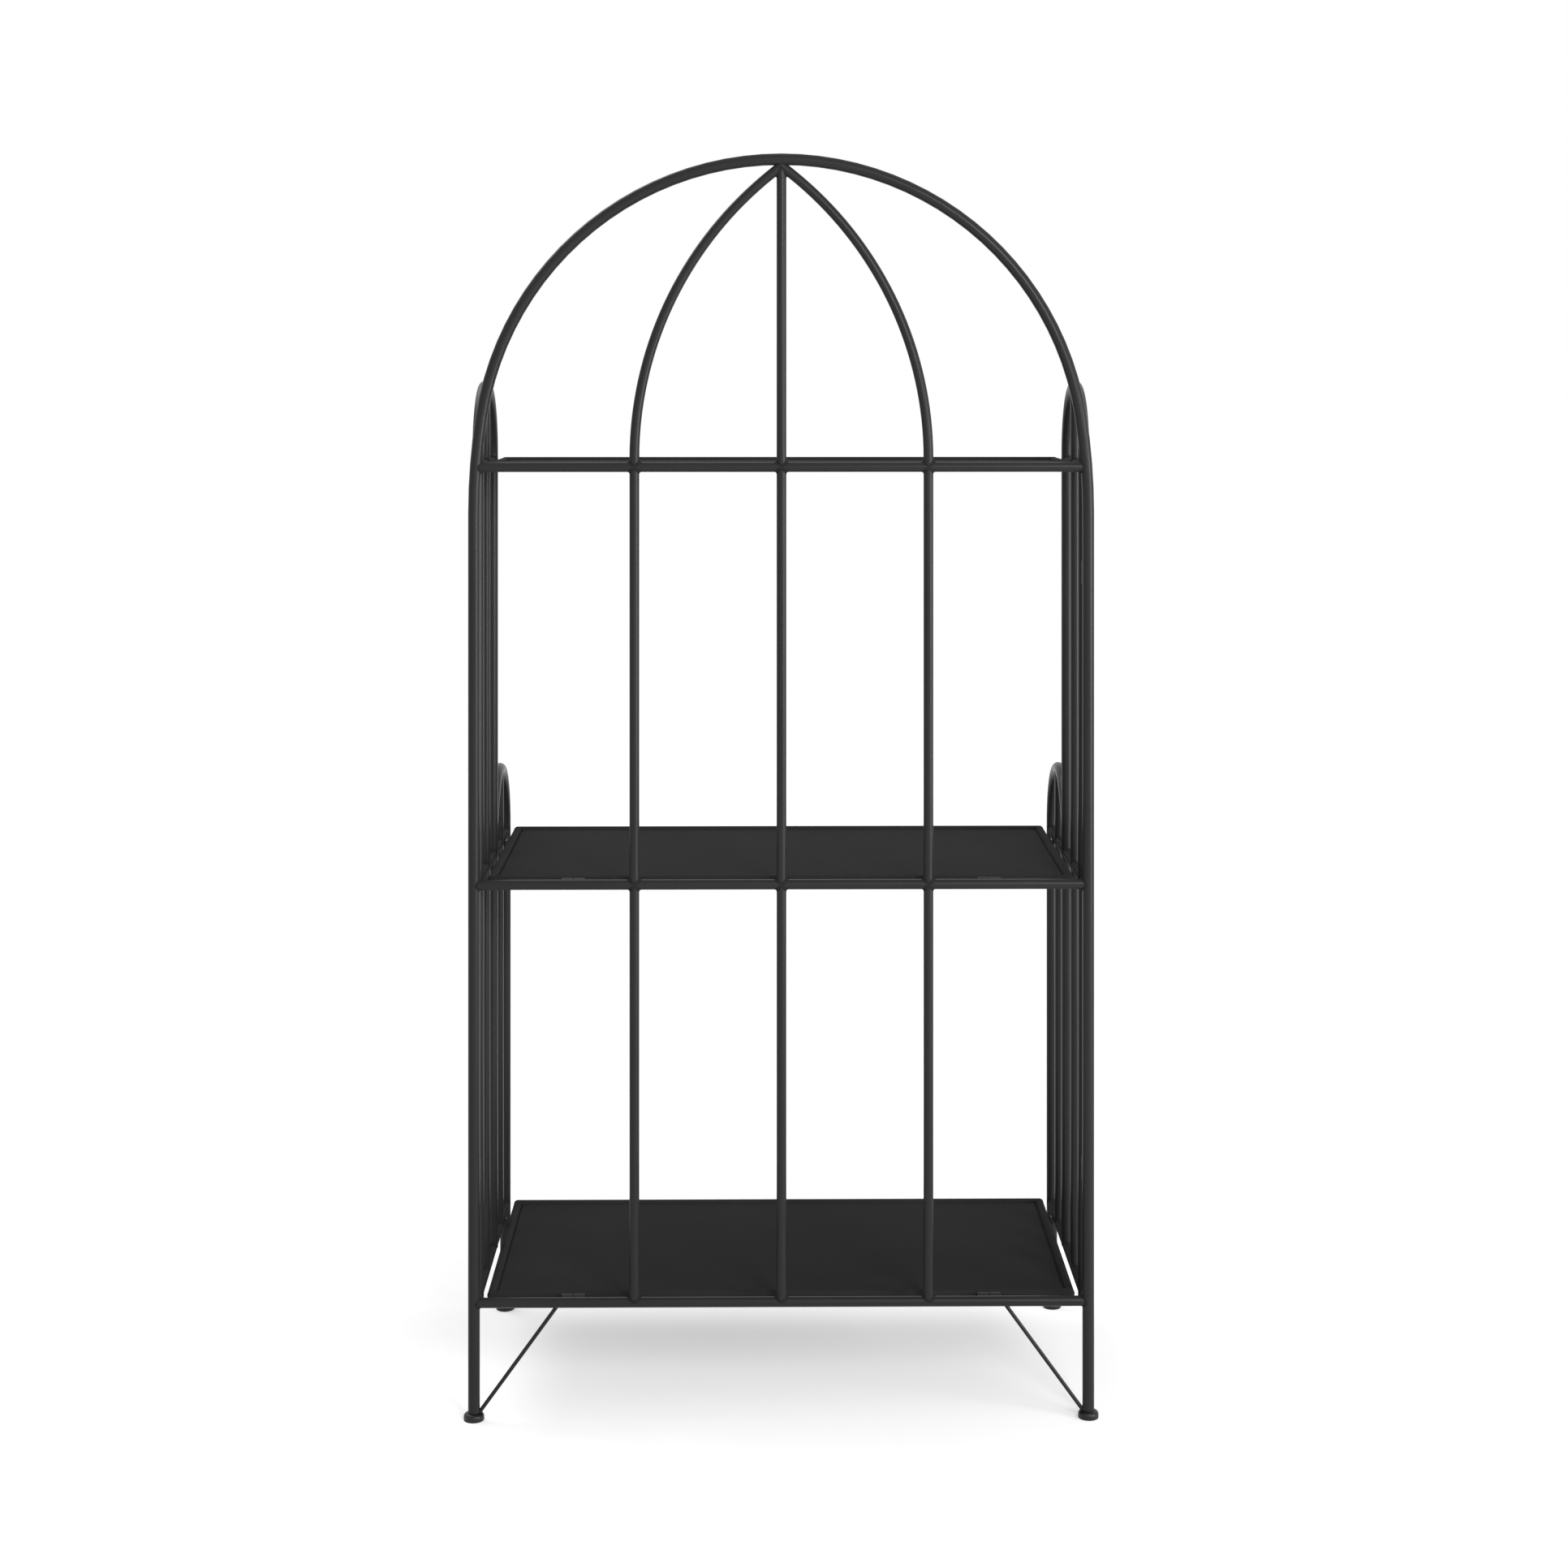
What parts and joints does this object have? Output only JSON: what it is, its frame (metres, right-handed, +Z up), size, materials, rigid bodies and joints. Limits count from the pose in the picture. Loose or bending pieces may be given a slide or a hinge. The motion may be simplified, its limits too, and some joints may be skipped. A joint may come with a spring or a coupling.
{
  "type": "plant shelf",
  "caption": "Freestanding plant shelf of round black tube: an arched back panel, stepped arched side panels and hinged sheet shelves that fold up against the back.",
  "frame": {"origin": "on the floor, at the middle of the footprint", "axes": "+Z up; -Y is the open stepped front, +Y the arched back panel; -X is the left side seen from the front"},
  "size_m": [0.806, 0.421, 1.6062],
  "materials": {
    "frame_coat": "satin black powder coat",
    "shelf_coat": "matte black powder coat",
    "hinge": "satin black powder coat",
    "pin": "plain steel",
    "foot": "moulded black plastic"
  },
  "bodies": {
    "frame": {"back_arch_tube": "frame_coat", "back_bar_crown_centre": "frame_coat", "back_bar_lower_centre": "frame_coat", "back_bar_lower_left": "frame_coat", "back_bar_lower_right": "frame_coat", "back_bar_upper_centre": "frame_coat", "back_bar_upper_left": "frame_coat", "back_bar_upper_right": "frame_coat", "back_brace_left": "frame_coat", "back_brace_right": "frame_coat", "back_rail_bottom": "frame_coat", "back_rail_middle": "frame_coat", "back_rail_top": "frame_coat", "foot_back_left": "foot", "foot_back_right": "foot", "foot_front_left": "foot", "foot_front_right": "foot", "front_leg_left": "frame_coat", "front_leg_right": "frame_coat", "gothic_bar_left": "frame_coat", "gothic_bar_right": "frame_coat", "hinge_pins": "pin", "mid_post_lower_left": "frame_coat", "mid_post_lower_right": "frame_coat", "mid_post_upper_left": "frame_coat", "mid_post_upper_right": "frame_coat", "rail_knuckles_bottom": "hinge", "rail_knuckles_middle": "hinge", "rail_knuckles_top": "hinge", "shelf_rests": "frame_coat", "side_bar_back_crown_left": "frame_coat", "side_bar_back_crown_right": "frame_coat", "side_bar_back_lower_left": "frame_coat", "side_bar_back_lower_right": "frame_coat", "side_bar_back_upper_left": "frame_coat", "side_bar_back_upper_right": "frame_coat", "side_bar_front_crown_left": "frame_coat", "side_bar_front_crown_right": "frame_coat", "side_bar_front_lower_left": "frame_coat", "side_bar_front_lower_right": "frame_coat", "side_hinge_knuckles_left": "hinge", "side_hinge_knuckles_right": "hinge", "side_post_left": "frame_coat", "side_post_right": "frame_coat", "side_rail_bottom_left": "frame_coat", "side_rail_bottom_right": "frame_coat", "side_rail_middle_left": "frame_coat", "side_rail_middle_right": "frame_coat", "side_rail_top_left": "frame_coat", "side_rail_top_right": "frame_coat"},
    "bottom_shelf": {"shelf_frame_bottom": "shelf_coat", "shelf_panel_bottom": "shelf_coat", "shelf_knuckles_bottom": "hinge"},
    "middle_shelf": {"shelf_frame_middle": "shelf_coat", "shelf_panel_middle": "shelf_coat", "shelf_knuckles_middle": "hinge"},
    "top_shelf": {"shelf_frame_top": "shelf_coat", "shelf_panel_top": "shelf_coat", "shelf_knuckles_top": "hinge"}
  },
  "joints": [
    {"name": "bottom_shelf_fold", "type": "hinge", "parent": "frame", "child": "bottom_shelf", "pos_m": [0, 0.1836, 0.148], "axis": [-1, 0, 0], "range_deg": [0, 90]},
    {"name": "middle_shelf_fold", "type": "hinge", "parent": "frame", "child": "middle_shelf", "pos_m": [0, 0.1836, 0.678], "axis": [-1, 0, 0], "range_deg": [0, 90]},
    {"name": "top_shelf_fold", "type": "hinge", "parent": "frame", "child": "top_shelf", "pos_m": [0, 0.1836, 1.208], "axis": [-1, 0, 0], "range_deg": [0, 90]}
  ]
}
